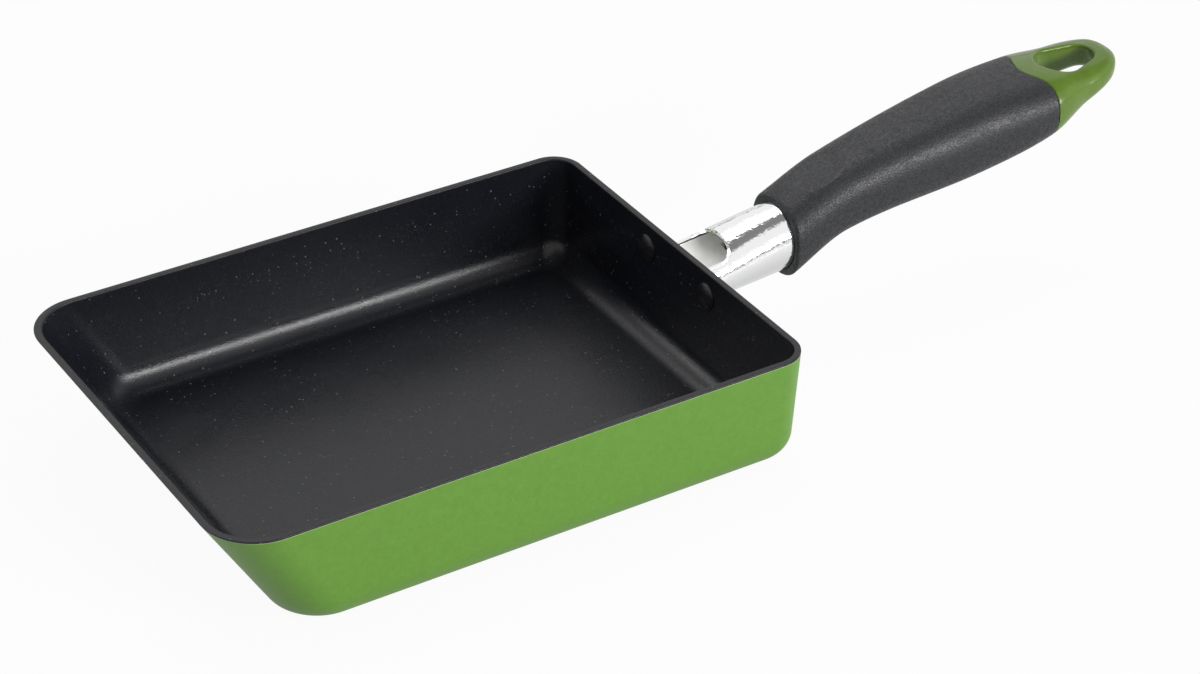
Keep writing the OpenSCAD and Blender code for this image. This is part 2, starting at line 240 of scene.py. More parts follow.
def turned(name: str, profile: Sequence[tuple[float, float]], around: int) -> Object:
    """A solid turned about the +X axis from points (radius, x) in millimetres."""
    return skin_object(name, [ellipse(x, r, r, around) for r, x in profile])


def box_object(name: str, low: Sequence[float], high: Sequence[float]) -> Object:
    """A plain block between two corners in millimetres, used only as a cutting tool."""
    return skin_object(name, [np.array([(x, low[1], low[2]), (x, high[1], low[2]), (x, high[1], high[2]),
                                        (x, low[1], high[2])]) for x in (low[0], high[0])])


# Node trees

class Graph:
    """A node tree with short calls for adding and joining nodes."""

    def __init__(self, tree: Tree) -> None:
        """Starts from an empty tree."""
        self.tree = tree
        tree.nodes.clear()

    def feed(self, node: Node, values: dict) -> None:
        """Fills a node's inputs.

        Args:
            node: The node.
            values: Input name or number to a socket to join or a plain value.
        """
        for key, value in values.items():
            if isinstance(value, Socket):
                self.tree.links.new(value, node.inputs[key])
            else:
                node.inputs[key].default_value = value

    def add(self, kind: str, values: Optional[dict] = None, **settings) -> Node:
        """Adds a node.

        Args:
            kind: The node's type.
            values: What its inputs are fed with.
            settings: Properties of the node.

        Returns:
            The new node.
        """
        node = self.tree.nodes.new(kind)
        for key, value in settings.items():
            setattr(node, key, value)
        self.feed(node, values or {})
        return node

    def math(self, operation: str, *values, clamp: bool = False) -> Socket:
        """A Math node's result; each value is a socket or a number."""
        node = self.add("ShaderNodeMath", dict(enumerate(values)), operation=operation, use_clamp=clamp)
        return node.outputs[0]

    def mix(self, factor, low, high) -> Socket:
        """A blend of two colours, each a socket or a colour."""
        sides = [side if isinstance(side, Socket) else (*side, 1) for side in (low, high)]
        return self.add("ShaderNodeMix", {0: factor, 6: sides[0], 7: sides[1]}, data_type="RGBA").outputs[2]

    def span(self, value, low: float, high: float, to_low: float = 0,
             to_high: float = 1) -> Socket:
        """A value moved from one range to another and held inside it."""
        return self.add("ShaderNodeMapRange", {0: value, 1: low, 2: high, 3: to_low, 4: to_high}).outputs[0]

    def noise(self, place: Socket, scale, **more: float) -> Socket:
        """A noise texture's value at a place; more names its other inputs."""
        return self.add("ShaderNodeTexNoise", {"Vector": place, "Scale": scale, **more}).outputs["Fac"]


def new_tree(kind: str, name: str, inputs: dict[str, str], outputs: dict[str, str]) -> Graph:
    """An empty node group with named sockets.

    Args:
        kind: The tree's type.
        name: The group's name.
        inputs: Socket name to the end of its type's name.
        outputs: The same for what comes out.

    Returns:
        The group's graph.
    """
    tree = bpy.data.node_groups.new(name, kind)
    for way, sockets in (("INPUT", inputs), ("OUTPUT", outputs)):
        for label, sort in sockets.items():
            tree.interface.new_socket(label, in_out=way, socket_type="NodeSocket" + sort)
    return Graph(tree)


class SharedEffects:
    """Shader groups that several finishes place with their own values."""

    def __init__(self) -> None:
        """Builds each group once."""
        self.flecks = self.make_flecks()
        self.grain = self.make_grain()
        self.mottle = self.make_mottle()

    @staticmethod
    def make_flecks(least: float = 0.14, more: float = 0.3, crisp: float = 9.0) -> Tree:
        """Scattered small spots of uneven size.

        Args:
            least: The smallest spot's radius, as a share of a cell.
            more: How much larger a spot may be.
            crisp: How sharp its edge is.

        Returns:
            The group, with the share of the cells that hold a spot as an input.
        """
        graph = new_tree("ShaderNodeTree", "flecks", {"Vector": "Vector", "Scale": "Float", "Share": "Float"},
                         {"Mask": "Float"})
        source = graph.add("NodeGroupInput").outputs
        cells = graph.add("ShaderNodeTexVoronoi", {"Vector": source[0], "Scale": source[1]})
        lucky = graph.add("ShaderNodeSeparateColor", {0: cells.outputs["Color"]})
        size = graph.math("ADD", graph.math("MULTIPLY", lucky.outputs[1], more), least)
        near = graph.math("SUBTRACT", size, cells.outputs["Distance"])
        spot = graph.math("MULTIPLY", near, crisp, clamp=True)
        chosen = graph.math("LESS_THAN", lucky.outputs[0], source[2])
        graph.add("NodeGroupOutput", {0: graph.math("MULTIPLY", spot, chosen)})
        return graph.tree

    @staticmethod
    def make_grain(wider: float = 0.33) -> Tree:
        """Uneven pebbled grain, as on a spark-eroded mould or a sprayed coat.

        Args:
            wider: The coarse layer's scale, as a share of the fine one's.

        Returns:
            The group, with the weight of the coarse layer as an input.
        """
        graph = new_tree("ShaderNodeTree", "grain", {"Vector": "Vector", "Scale": "Float", "Coarse": "Float"},
                         {"Height": "Float"})
        source = graph.add("NodeGroupInput").outputs
        fine = graph.noise(source[0], source[1], Detail=1.0, Roughness=0.5)
        wide = graph.noise(source[0], graph.math("MULTIPLY", source[1], wider), Detail=2.0)
        graph.add("NodeGroupOutput", {0: graph.math("ADD", fine, graph.math("MULTIPLY", wide, source[2]))})
        return graph.tree

    @staticmethod
    def make_mottle(low: float = 0.3, high: float = 0.7) -> Tree:
        """Slow cloudy change from 0 to 1.

        Args:
            low: The noise that gives 0.
            high: The noise that gives 1.

        Returns:
            The group.
        """
        graph = new_tree("ShaderNodeTree", "mottle", {"Vector": "Vector", "Scale": "Float"},
                         {"Factor": "Float"})
        source = graph.add("NodeGroupInput").outputs
        cloud = graph.noise(source[0], source[1], Detail=4.0, Roughness=0.55, Distortion=0.4)
        graph.add("NodeGroupOutput", {0: graph.span(cloud, low, high)})
        return graph.tree


class Surface(Graph):
    """A material's nodes round one Principled shader."""

    def __init__(self, tree: Tree, effects: SharedEffects) -> None:
        """Starts with the shader, its output and the object's own coordinates."""
        super().__init__(tree)
        self.effects = effects
        self.shader = self.add("ShaderNodeBsdfPrincipled")
        self.add("ShaderNodeOutputMaterial", {"Surface": self.shader.outputs[0]})
        self.place = self.add("ShaderNodeTexCoord").outputs["Object"]

    def dress(self, **values) -> None:
        """Feeds the shader's inputs, named with _ for a space."""
        self.feed(self.shader, {key.replace("_", " "): value for key, value in values.items()})

    def effect(self, group: Tree, scale: float, **values: float) -> Socket:
        """Places a shared group and gives its one output."""
        links = {"Vector": self.place, "Scale": scale, **values}
        return self.add("ShaderNodeGroup", links, node_tree=group).outputs[0]

    def drawn(self, squeeze: float, turn: tuple[float, float, float] = (0, 0, 0)) -> Socket:
        """Coordinates in which a texture is drawn out into marks along X."""
        links = {"Vector": self.place, "Rotation": turn, "Scale": (squeeze, 1.0, 1.0)}
        return self.add("ShaderNodeMapping", links).outputs[0]

    def bump(self, height: Socket, depth_mm: float) -> None:
        """Feeds a height to the shader's normal; 1 stands for the depth in millimetres."""
        bump = self.add("ShaderNodeBump", {"Strength": 1.0, "Distance": depth_mm * MM, "Height": height})
        self.dress(Normal=bump.outputs[0])


# Finishes

@dataclass(frozen=True)
class Finish:
    """A surface finish; each kind adds its own nodes to a Principled shader."""

    name: str
    colour: Colour
    roughness: float
    play: tuple[float, float] = (0, 0)
    metal: float = 0.0
    specular: float = 0.5
    coat: float = 0.0
    coat_roughness: float = 0.03

    def build(self, effects: SharedEffects) -> bpy.types.Material:
        """Makes the material.

        Args:
            effects: The shared shader groups.

        Returns:
            The new material.
        """
        material = bpy.data.materials.new(self.name)
        material.use_nodes = True
        material.diffuse_color = (*self.colour, 1)
        surface = Surface(material.node_tree, effects)
        surface.dress(Base_Color=(*self.colour, 1), Roughness=self.roughness, Metallic=self.metal,
                      Specular_IOR_Level=self.specular, Coat_Weight=self.coat,
                      Coat_Roughness=self.coat_roughness)
        self.dress(surface)
        return material

    def dress(self, surface: Surface) -> None:
        """Adds the nodes of one kind of finish; the plain kind adds none."""

    def uneven(self, surface: Surface, mask: Socket, low: float = 0,
               high: float = 1) -> Socket:
        """The roughness as it plays with a mask between two of the mask's values."""
        return surface.span(mask, low, high, self.roughness + self.play[0], self.roughness + self.play[1])


@dataclass(frozen=True)
class Enamel(Finish):
    """Sprayed green enamel with a faint mottle and orange peel, and a painted highlight: a pale line just
    under where it stops, for light caught on its top edge.
    """

    play: tuple[float, float] = (-0.04, 0.05)
    specular: float = 0.3
    coat: float = 0.1
    coat_roughness: float = 0.3
    deep: Colour = (0.086, 0.205, 0.022)
    # The pale band set by the next three values is a painted highlight, for light caught on the enamel's top
    # edge.
    painted_highlight_top: float = 36.35
    painted_highlight_width: float = 0.15
    painted_highlight_colour: Colour = (0.42, 0.60, 0.26)
    cloud_scale: float = 420.0
    fine_scale: float = 1500.0
    peel_scale: float = 700.0
    peel_depth: float = 0.02

    def dress(self, surface: Surface) -> None:
        """Adds the mottle, the painted highlight line and the orange peel."""
        cloud = surface.effect(surface.effects.mottle, self.cloud_scale)
        fine = surface.effect(surface.effects.mottle, self.fine_scale)
        both = surface.math("ADD", surface.math("MULTIPLY", cloud, 0.5), surface.math("MULTIPLY", fine, 0.5))
        body = surface.mix(both, self.deep, self.colour)
        height = surface.add("ShaderNodeSeparateXYZ", {0: surface.place}).outputs[2]
        # Painted highlight: the colour turns pale over the last fraction of a millimetre below the enamel's
        # top edge.
        line = surface.span(height, (self.painted_highlight_top - self.painted_highlight_width) * MM, self.painted_highlight_top * MM)
        surface.dress(Base_Color=surface.mix(line, body, self.painted_highlight_colour),
                      Roughness=self.uneven(surface, cloud))
        surface.bump(surface.effect(surface.effects.grain, self.peel_scale, Coarse=1.0), self.peel_depth)


@dataclass(frozen=True)
class NonStick(Finish):
    """Dark non-stick coating with fine pale flecks."""

    play: tuple[float, float] = (-0.03, 0.04)
    fleck: Colour = (0.11, 0.118, 0.138)
    share: float = 0.35
    dust_rarer: float = 8
    spot_weight: float = 0.2
    spot_gloss: float = 0.1
    grain_depth: float = 0.06
    spot_scale: float = 2300.0
    dust_scale: float = 1300.0
    cloud_scale: float = 45.0
    grain_scale: float = 2600.0
    coarse: float = 0.3

    def dress(self, surface: Surface) -> None:
        """Adds the flecks, their uneven gloss and the pebbled coat."""
        spots = surface.effect(surface.effects.flecks, self.spot_scale, Share=self.share)
        dust = surface.effect(surface.effects.flecks, self.dust_scale, Share=self.share / self.dust_rarer)
        marks = surface.math("ADD", surface.math("MULTIPLY", spots, self.spot_weight), dust, clamp=True)
        rough = self.uneven(surface, surface.effect(surface.effects.mottle, self.cloud_scale))
        gloss = surface.math("MULTIPLY", spots, self.spot_gloss)
        surface.dress(Base_Color=surface.mix(marks, self.colour, self.fleck),
                      Roughness=surface.math("SUBTRACT", rough, gloss))
        surface.bump(surface.effect(surface.effects.grain, self.grain_scale, Coarse=self.coarse),
                     self.grain_depth)


@dataclass(frozen=True)
class PolishedSteel(Finish):
    """Mirror-polished tube with polishing marks and a slow wave in its surface."""

    play: tuple[float, float] = (0, 0.05)
    metal: float = 1.0
    slope_deg: float = 6.6
    squeeze: float = 0.12
    marks_scale: float = 2500.0
    marks_range: tuple[float, float] = (0.4, 0.75)
    marks_gloss: float = 0.05
    marks_weight: float = 0.04
    stain_scale: float = 260.0
    wave_scale: float = 800.0
    wave_depth: float = 0.09

    def dress(self, surface: Surface) -> None:
        """Adds the marks along the tube, stains in the gloss and the wave."""
        along = surface.drawn(self.squeeze, (0, math.radians(self.slope_deg), 0))
        marks = surface.noise(along, self.marks_scale, Detail=3.0)
        stain = surface.effect(surface.effects.mottle, self.stain_scale)
        scratched = surface.span(marks, *self.marks_range, 0, self.marks_gloss)
        surface.dress(Roughness=surface.math("ADD", scratched, self.uneven(surface, stain)))
        wave = surface.noise(surface.place, self.wave_scale, Detail=2.0, Roughness=0.6)
        surface.bump(surface.math("ADD", wave, surface.math("MULTIPLY", marks, self.marks_weight)),
                     self.wave_depth)


@dataclass(frozen=True)
class SatinSteel(Finish):
    """Pressed or plated steel with a soft sheen and faint marks."""

    play: tuple[float, float] = (-0.06, 0.08)
    metal: float = 1.0
    dull: float = 0.86
    squeeze: float = 0.08
    marks_scale: float = 1800.0
    marks_range: tuple[float, float] = (0.35, 0.7)
    marks_depth: float = 0.012
    cloud_scale: float = 120.0

    def dress(self, surface: Surface) -> None:
        """Adds the marks and an uneven sheen."""
        marks = surface.noise(surface.drawn(self.squeeze), self.marks_scale, Detail=4.0)
        cloud = surface.effect(surface.effects.mottle, self.cloud_scale)
        surface.dress(Base_Color=surface.mix(cloud, tuple(c * self.dull for c in self.colour), self.colour),
                      Roughness=self.uneven(surface, marks, *self.marks_range))
        surface.bump(marks, self.marks_depth)


@dataclass(frozen=True)
class GrainedMoulding(Finish):
    """Black moulding with a fine matt grain."""

    play: tuple[float, float] = (-0.05, 0.06)
    specular: float = 0.34
    pale: float = 2.6
    pale_range: tuple[float, float] = (0.6, 0.95)
    gloss_range: tuple[float, float] = (0.55, 1.0)
    grain_scale: float = 1900.0
    coarse: float = 0.5
    grain_depth: float = 0.12
    grain_gloss: tuple[float, float] = (0.09, -0.12)
    cloud_scale: float = 90.0

    def dress(self, surface: Surface) -> None:
        """Adds the grain and handling marks in its sheen."""
        grain = surface.effect(surface.effects.grain, self.grain_scale, Coarse=self.coarse)
        rough = self.uneven(surface, surface.effect(surface.effects.mottle, self.cloud_scale))
        gloss = surface.span(grain, *self.gloss_range, *self.grain_gloss)
        pale = tuple(c * self.pale for c in self.colour)
        surface.dress(Base_Color=surface.mix(surface.span(grain, *self.pale_range), self.colour, pale),
                      Roughness=surface.math("ADD", rough, gloss))
        surface.bump(grain, self.grain_depth)


@dataclass(frozen=True)
class GlossMoulding(Finish):
    """Glossy coloured moulding with a clear coat."""

    play: tuple[float, float] = (0, 0.06)
    specular: float = 0.35
    coat: float = 0.22
    coat_roughness: float = 0.12
    deep: Colour = (0.07, 0.128, 0.01)
    cloud_scale: float = 80.0
    haze_scale: float = 400.0
    wave_scale: float = 160.0
    wave_depth: float = 0.02

    def dress(self, surface: Surface) -> None:
        """Adds a slow change of colour, a slight haze and a slow wave."""
        cloud = surface.effect(surface.effects.mottle, self.cloud_scale)
        haze = surface.effect(surface.effects.mottle, self.haze_scale)
        surface.dress(Base_Color=surface.mix(cloud, self.deep, self.colour),
                      Roughness=self.uneven(surface, haze))
        surface.bump(surface.effect(surface.effects.grain, self.wave_scale, Coarse=1.0), self.wave_depth)


class FinishName(Enum):
    """The finishes on the pan."""

    ENAMEL = Enamel("green_enamel", (0.112, 0.25, 0.03), 0.42)
    NON_STICK = NonStick("dark_non_stick", (0.0066, 0.0072, 0.0102), 0.27, specular=0.34)
    RIM = NonStick("rim_coating", (0.009, 0.0095, 0.011), 0.42, specular=0.3)
    RIVET = NonStick("rivet_coating", (0.008, 0.008, 0.009), 0.24, grain_depth=0.07)
    SLEEVE = PolishedSteel("mirror_steel", (0.86, 0.86, 0.87), 0.04)
    # Painted reflection: the bracket's steel gets a near-white colour with no metal, which stands in for its
    # reflection of the white surround.
    BRACKET_PAINTED_REFLECTION = SatinSteel("pale_steel_painted_reflection", (0.95, 0.94, 0.92), 0.6, metal=0.0)
    CUT_EDGE = SatinSteel("cut_steel_edge", (0.93, 0.93, 0.93), 0.4, metal=0.5)
    FASTENER = SatinSteel("zinc_plate", (0.66, 0.67, 0.69), 0.3)
    GRIP = GrainedMoulding("black_grained_moulding", (0.0118, 0.0122, 0.0138), 0.46)
    CAP = GlossMoulding("green_gloss_moulding", (0.092, 0.162, 0.014), 0.2)


class Palette:
    """Builds each finish the first time that it is asked for."""

    def __init__(self) -> None:
        """Starts with the shared groups and no finish."""
        self.effects = SharedEffects()
        self.made: dict[FinishName, bpy.types.Material] = {}

    def get(self, name: FinishName) -> bpy.types.Material:
        """The material of a finish."""
        if name not in self.made:
            self.made[name] = name.value.build(self.effects)
        return self.made[name]


def coat(piece: Object, *materials: bpy.types.Material) -> None:
    """Gives a piece its materials, in the order of its faces' material numbers."""
    piece.data.materials.clear()
    for material in materials:
        piece.data.materials.append(material)


# The pan

class Piece:
    """A visible piece of the pan; each kind makes its own shape."""

    slot: ClassVar[str]
    node: ClassVar[str]
    finishes: ClassVar[tuple[FinishName, ...]]
    sharp_deg: ClassVar[float]
    weighted: ClassVar[bool] = True

    def shape(self) -> Object:
        """Makes the mesh, under the piece's own name."""
        raise NotImplementedError

    def mark(self, piece: Object) -> None:
        """Gives faces the numbers of their finishes; most pieces need none."""

    def build(self, palette: Palette) -> Object:
        """Makes and dresses the piece and puts it on the pan's one body in place of its CAD node.

        Args:
            palette: The finishes.

        Returns:
            The finished piece.
        """
        piece = self.shape()
        coat(piece, *[palette.get(name) for name in self.finishes])
        self.mark(piece)
        shade(piece, self.sharp_deg, self.weighted)
        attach(piece, ROOT_BODY)
        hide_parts(self.node)
        log.info("%s: %d faces, replaces %s", piece.name, len(piece.data.polygons), self.node)
        return piece


@dataclass
class PanShell(Piece):
    """The pressed pan, with its sloped end, fillets and rounded rim edges."""

    slot = "coated_pan"
    node = "pan_body"
    finishes = (FinishName.ENAMEL, FinishName.RIM, FinishName.NON_STICK)
    sharp_deg = 40

    length: float = 185
    width: float = 135
    height: float = 37
    wall: float = 2
    floor: float = 2.5
    side_lean: float = 2
    back_lean: float = 3
    toe_lean: float = 31
    side_fillet: float = 10
    toe_fillet: float = 9
    toe_corner: float = 16.5
    back_corner: float = 9.5
    corner_give: float = 0.55
    least_corner: float = 1.2
    rim_round: float = 0.4
    enamel_stop: float = 0.62
    enamel_slack: float = 0.01
    corner_steps: int = 20
    side_steps: int = 14
    wall_steps: int = 6
    fillet_steps: int = 18
    round_steps: int = 5
    floor_shares: tuple[float, ...] = (0.03, 0.12, 0.3, 0.5, 0.7, 0.9)
    look_out_share: float = 0.6

    @staticmethod
    def inset(depth: float, lean: float, fillet: float, height: float) -> float:
        """How far a leaning wall with a fillet at its foot has come in at a depth.

        Args:
            depth: Depth below the rim.
            lean: The wall's lean, in degrees.
            fillet: The fillet's radius.
            height: Depth of the floor that the fillet meets.

        Returns:
            The distance, in millimetres.
        """
        if depth <= height - fillet * (1 - sin_deg(lean)):
            return depth * tan_deg(lean)
        drop = max(0.0, fillet ** 2 - (depth - height + fillet) ** 2)
        return (height - fillet) * tan_deg(lean) + fillet / cos_deg(lean) - math.sqrt(drop)

    def ring(self, depth: float, wall: float, floor_at: float, edge: float = 0) -> Ring:
        """A level outline of the pan.

        Args:
            depth: Depth below the rim.
            wall: How far inside the outer surface, 0 or the wall's thickness.
            floor_at: Depth of the floor that the fillets meet.
            edge: A further step inwards.

        Returns:
            The outline's points, anticlockwise from above.
        """
        walls = ((self.toe_lean, self.toe_fillet), (self.back_lean, self.side_fillet),
                 (self.side_lean, self.side_fillet))
        toe_in, back_in, side_in = [wall / cos_deg(lean) + self.inset(depth, lean, fillet - wall, floor_at)
                                    for lean, fillet in walls]
        give = wall + self.corner_give * (side_in - wall) + edge
        toe_r = max(self.least_corner, self.toe_corner - give)
        back_r = max(self.least_corner, self.back_corner - give)
        x0, x1 = toe_in + edge - self.length / 2, self.length / 2 - back_in - edge
        half = self.width / 2 - side_in - edge
        corners = ((x1 - back_r, half - back_r, back_r, 0), (x0 + toe_r, half - toe_r, toe_r, 90),
                   (x0 + toe_r, toe_r - half, toe_r, 180), (x1 - back_r, back_r - half, back_r, 270))
        arcs = [[(cx + r * cos_deg(start + a), cy + r * sin_deg(start + a))
                 for a in quarter_turn(self.corner_steps)] for cx, cy, r, start in corners]
        outline = []
        for arc, follow in zip(arcs, arcs[1:] + arcs[:1]):
            side = np.subtract(follow[0], arc[-1])
            steps = [side * s / self.side_steps for s in range(1, self.side_steps)]
            outline += arc + [tuple(np.add(arc[-1], step)) for step in steps]
        return np.array([(x, y, self.height - depth) for x, y in outline])

    def depths(self, floor_at: float, fillet: float) -> list[float]:
        """Depths from where the enamel stops down the wall and round the fillet to a floor."""
        top, start = self.enamel_stop, floor_at - fillet
        wall = [top + (start - top) * k / self.wall_steps for k in range(self.wall_steps)]
        return wall + [start + fillet * sin_deg(a) for a in quarter_turn(self.fillet_steps)]

    def rim_ring(self, angle: float, wall: float, floor_at: float, side: int) -> Ring:
        """A ring of the rim's outer (side 1) or inner (side -1) rounding."""
        r = self.rim_round
        return self.ring(r * (1 - cos_deg(angle)), wall, floor_at, side * r * (1 - sin_deg(angle)))

    def floor_rings(self, edge: Ring) -> list[Ring]:
        """Rings that shrink from the floor's edge to near its middle, so that the floor is even quads."""
        centre = edge.mean(0)
        return [centre + (edge - centre) * (1 - s) for s in self.floor_shares]

    def shape(self) -> Object:
        """Lays rings from the underside's middle over the rim to the middle of the inside."""
        inner_at = self.height - self.floor
        fillet = max(self.side_fillet, self.toe_fillet)
        outer = [self.ring(d, 0, self.height) for d in self.depths(self.height, fillet)]
        inner = [self.ring(d, self.wall, inner_at) for d in self.depths(inner_at, fillet - self.wall)]
        turns = quarter_turn(self.round_steps)
        rim = [self.rim_ring(a, 0, self.height, 1) for a in reversed(turns)]
        rim += [self.rim_ring(a, self.wall, inner_at, -1) for a in turns]
        under, floor = self.floor_rings(outer[-1]), self.floor_rings(inner[-1])
        return skin_object("pan_shell", under[::-1] + outer[::-1] + rim + inner + floor)

    def mark(self, piece: Object) -> None:
        """Gives the outside, the rim and the inside their own finishes."""
        rim_at = (self.height - self.enamel_stop - self.enamel_slack) * MM
        middle = Vector((0, 0, self.height * self.look_out_share * MM))
        for face in piece.data.polygons:
            if face.center.z > rim_at:
                face.material_index = 1
            elif face.normal.dot(middle - face.center) > 0:
                face.material_index = 2


@dataclass(frozen=True)
class Joint:
    """Where the handle meets the pan, and the lines that its pieces share."""

    rim_x: float = 92.5
    rim_z: float = 37
    back_lean: float = 3
    rivet_drop: float = 7.9
    rivet_span: float = 32
    neck_drop: float = 9.9
    neck_rise: float = 6.6
    neck_length: float = 33.2
    sleeve_r: float = 10.6
    sleeve_a: float = 11.8
    sleeve_b: float = 8.7
    sleeve_t: float = 0.9
    sleeve_fit: float = 0.2
    flange_t: float = 1.8
    socket_depth: float = 1.2
    bolt_slope: float = 12.83
    lug_run: float = 24.5
    run_up: float = 4
    tool_reach: float = 30

    def wall_matrix(self) -> Matrix:
        """Frame on the handle wall's outside face at the rivets' height, with +X out of the pan."""
        x = self.rim_x - self.rivet_drop * tan_deg(self.back_lean)
        return shift(x, 0, self.rim_z - self.rivet_drop) @ tilt(self.back_lean)

    def neck_matrix(self) -> Matrix:
        """Frame at the neck's start, with +X along its axis."""
        return shift(self.rim_x, 0, self.rim_z - self.neck_drop) @ tilt(-self.neck_rise)

    def sleeve_end(self) -> float:
        """Distance along the neck to the sleeve's end inside the grip."""
        return (self.neck_length + self.socket_depth) / cos_deg(self.neck_rise)

    def half(self, s: float, shrink: float) -> tuple[float, float]:
        """Half width and half height of the neck at a distance from the pan."""
        k = float(smoothstep(np.array(s / self.neck_length)))
        return (self.sleeve_a + (self.sleeve_r - self.sleeve_a) * k - shrink,
                self.sleeve_b + (self.sleeve_r - self.sleeve_b) * k - shrink)

    def rings(self, stops: Sequence[float], shrink: float, around: int) -> list[Ring]:
        """Rings of the neck in its own frame, inside its outside surface by the shrink."""
        return [ellipse(s, *self.half(s, shrink), around) for s in stops]

    def trim(self, piece: Object, level: float) -> None:
        """Cuts off what lies nearer the pan than a level above the handle wall."""
        reach = self.tool_reach
        block = box_object("wall_tool", (-reach, -reach, -reach), (level, reach, reach))
        move_mesh(block, self.wall_matrix())
        cut(piece, block)


@dataclass
class NeckSleeve(Piece):
    """The polished tube between the pan and the grip, with a scoop in its roof."""

    slot = "polished_sleeve"
    node = "neck_sleeve"
    finishes = (FinishName.SLEEVE, FinishName.CUT_EDGE)
    sharp_deg = 50

    joint: Joint
    scoop_run: float = 14
    scoop_level: float = 5.4
    scoop_r: float = 5
    edge: float = 0.16
    around: int = 160
    steps: int = 60
    corner_steps: int = 24
    tool_half: float = 20
    near: float = 0.03
    facing_up: float = 0.9

    def scoop_outline(self) -> list[tuple[float, float]]:
        """The scoop's side view: distance along the neck and height above its axis."""
        turn_s = self.scoop_run - self.scoop_r
        corner = [(turn_s + self.scoop_r * sin_deg(a), self.scoop_level + self.scoop_r * (1 - cos_deg(a)))
                  for a in quarter_turn(self.corner_steps)]
        front, high = -self.tool_half, self.joint.tool_reach
        return [(front, self.scoop_level)] + corner + [(self.scoop_run, high), (front, high)]

    def mark_cut(self, piece: Object) -> None:
        """Gives the sheet's cut edge round the scoop its own number, while the tube lies along its axis."""
        turn_s, turn_z = self.scoop_run - self.scoop_r, self.scoop_level + self.scoop_r
        for face in piece.data.polygons:
            s, z = face.center[0] / MM, face.center[2] / MM
            on_floor = abs(z - self.scoop_level) < self.near and face.normal.z > self.facing_up
            on_back = abs(s - self.scoop_run) < self.near and z >= turn_z
            off_corner = abs(math.hypot(s - turn_s, z - turn_z) - self.scoop_r)
            on_corner = s > turn_s and z < turn_z and off_corner < self.near
            face.material_index = int(on_floor or on_back or on_corner)

    def shape(self) -> Object:
        """Makes the tube, cuts the scoop and trims it to the bracket's face."""
        joint = self.joint
        stops = np.linspace(-joint.run_up, joint.sleeve_end(), self.steps + 1)
        tube = joint.rings(stops, 0, self.around) + joint.rings(stops[::-1], joint.sleeve_t, self.around)
        piece = skin_object("neck_tube", tube, closed=True)
        sides = [np.array([(s, y, z) for s, z in self.scoop_outline()])
                 for y in (-self.tool_half, self.tool_half)]
        cut(piece, skin_object("scoop_tool", sides))
        self.mark_cut(piece)
        move_mesh(piece, joint.neck_matrix())
        joint.trim(piece, joint.flange_t)
        round_edges(piece, self.edge)
        return piece


@dataclass
class HandleBracket(Piece):
    """The pressed bracket: a flange on the pan, a shallow web inside the sleeve and a lug for the bolt."""

    slot = "bracket_steel"
    node = "handle_bracket"
    finishes = (FinishName.BRACKET_PAINTED_REFLECTION,)
    sharp_deg = 40

    joint: Joint
    ear_r: float = 4.9
    middle_r: float = 12.6
    web_t: float = 1.8
    web_r: float = 15.7
    web_level: float = 1
    web_sweep: float = 60
    window_half: float = 4.8
    window_length: float = 6.3
    lug_t: float = 2.5
    edge: float = 0.25
    ear_points: int = 25
    under_points: int = 49
    web_points: int = 61
    core_spare: float = 6
    core_around: int = 128
    core_rings: int = 25
    lug_around: int = 96
    axis_r: float = 0.001

    def flange_outline(self) -> list[tuple[float, float]]:
        """The flange's outline as (y, height above the rivets), clockwise from the right ear's top."""
        joint = self.joint
        drop = joint.neck_drop - joint.rivet_drop
        ear_y = joint.rivet_span / 2
        meet = math.degrees(math.acos((self.ear_r - drop) / self.middle_r))
        right = [(ear_y + self.ear_r * sin_deg(a), self.ear_r * cos_deg(a))
                 for a in np.linspace(0, 180, self.ear_points)]
        under = [(self.middle_r * sin_deg(a), -drop - self.middle_r * cos_deg(a))
                 for a in np.linspace(meet, -meet, self.under_points)]
        left = [(-y, z) for y, z in reversed(right)]
        return right + under + left

    def flange(self) -> Object:
        """The plate that is riveted to the pan."""
        outline = self.flange_outline()
        piece = skin_object("riveted_bracket", [np.array([(x, y, z) for y, z in outline])
                                                for x in (0, self.joint.flange_t)])
        round_edges(piece, self.edge)
        move_mesh(piece, self.joint.wall_matrix())
        return piece

    def web(self) -> Object:
        """The shallow web that runs back inside the sleeve, with a window over the nut."""
        joint = self.joint
        sweep = np.linspace(-self.web_sweep, self.web_sweep, self.web_points)
        top = self.web_level + self.web_r
        section = [(r * sin_deg(a), top - r * cos_deg(a)) for r, way in
                   ((self.web_r, sweep), (self.web_r + self.web_t, sweep[::-1])) for a in way]
        piece = skin_object("web", [np.array([(x, y, z) for y, z in section])
                                    for x in (-joint.run_up, joint.lug_run)])
        stops = np.linspace(-self.core_spare, joint.lug_run + self.core_spare, self.core_rings)
        shrink = joint.sleeve_t + joint.sleeve_fit
        cut(piece, skin_object("web_tool", joint.rings(stops, shrink, self.core_around)), "INTERSECT")
        half, rear = self.window_half, joint.lug_run - self.lug_t / 2
        cut(piece, box_object("window_tool", (rear - self.window_length, -half, -half), (rear, half, half)))
        move_mesh(piece, joint.neck_matrix())
        joint.trim(piece, joint.flange_t / 2)
        round_edges(piece, self.edge)
        return piece

    def lug(self) -> Object:
        """The disc across the web's end that the bolt pulls on."""
        joint = self.joint
        radius = joint.half(joint.lug_run, joint.sleeve_t + 2 * joint.sleeve_fit)[1]
        half = self.lug_t / 2
        profile = [(self.axis_r, -half), (radius, -half), (radius, half), (self.axis_r, half)]
        piece = turned("lug", profile, self.lug_around)
        place = shift(joint.rim_x + joint.lug_run * cos_deg(joint.neck_rise), 0,
                      joint.rim_z - joint.neck_drop + joint.lug_run * sin_deg(joint.neck_rise))
        move_mesh(piece, place @ tilt(-joint.bolt_slope))
        return piece

    def shape(self) -> Object:
        """Joins the flange, the web and the lug."""
        piece = self.flange()
        cut(piece, self.web(), "UNION")
        cut(piece, self.lug(), "UNION")
        return piece


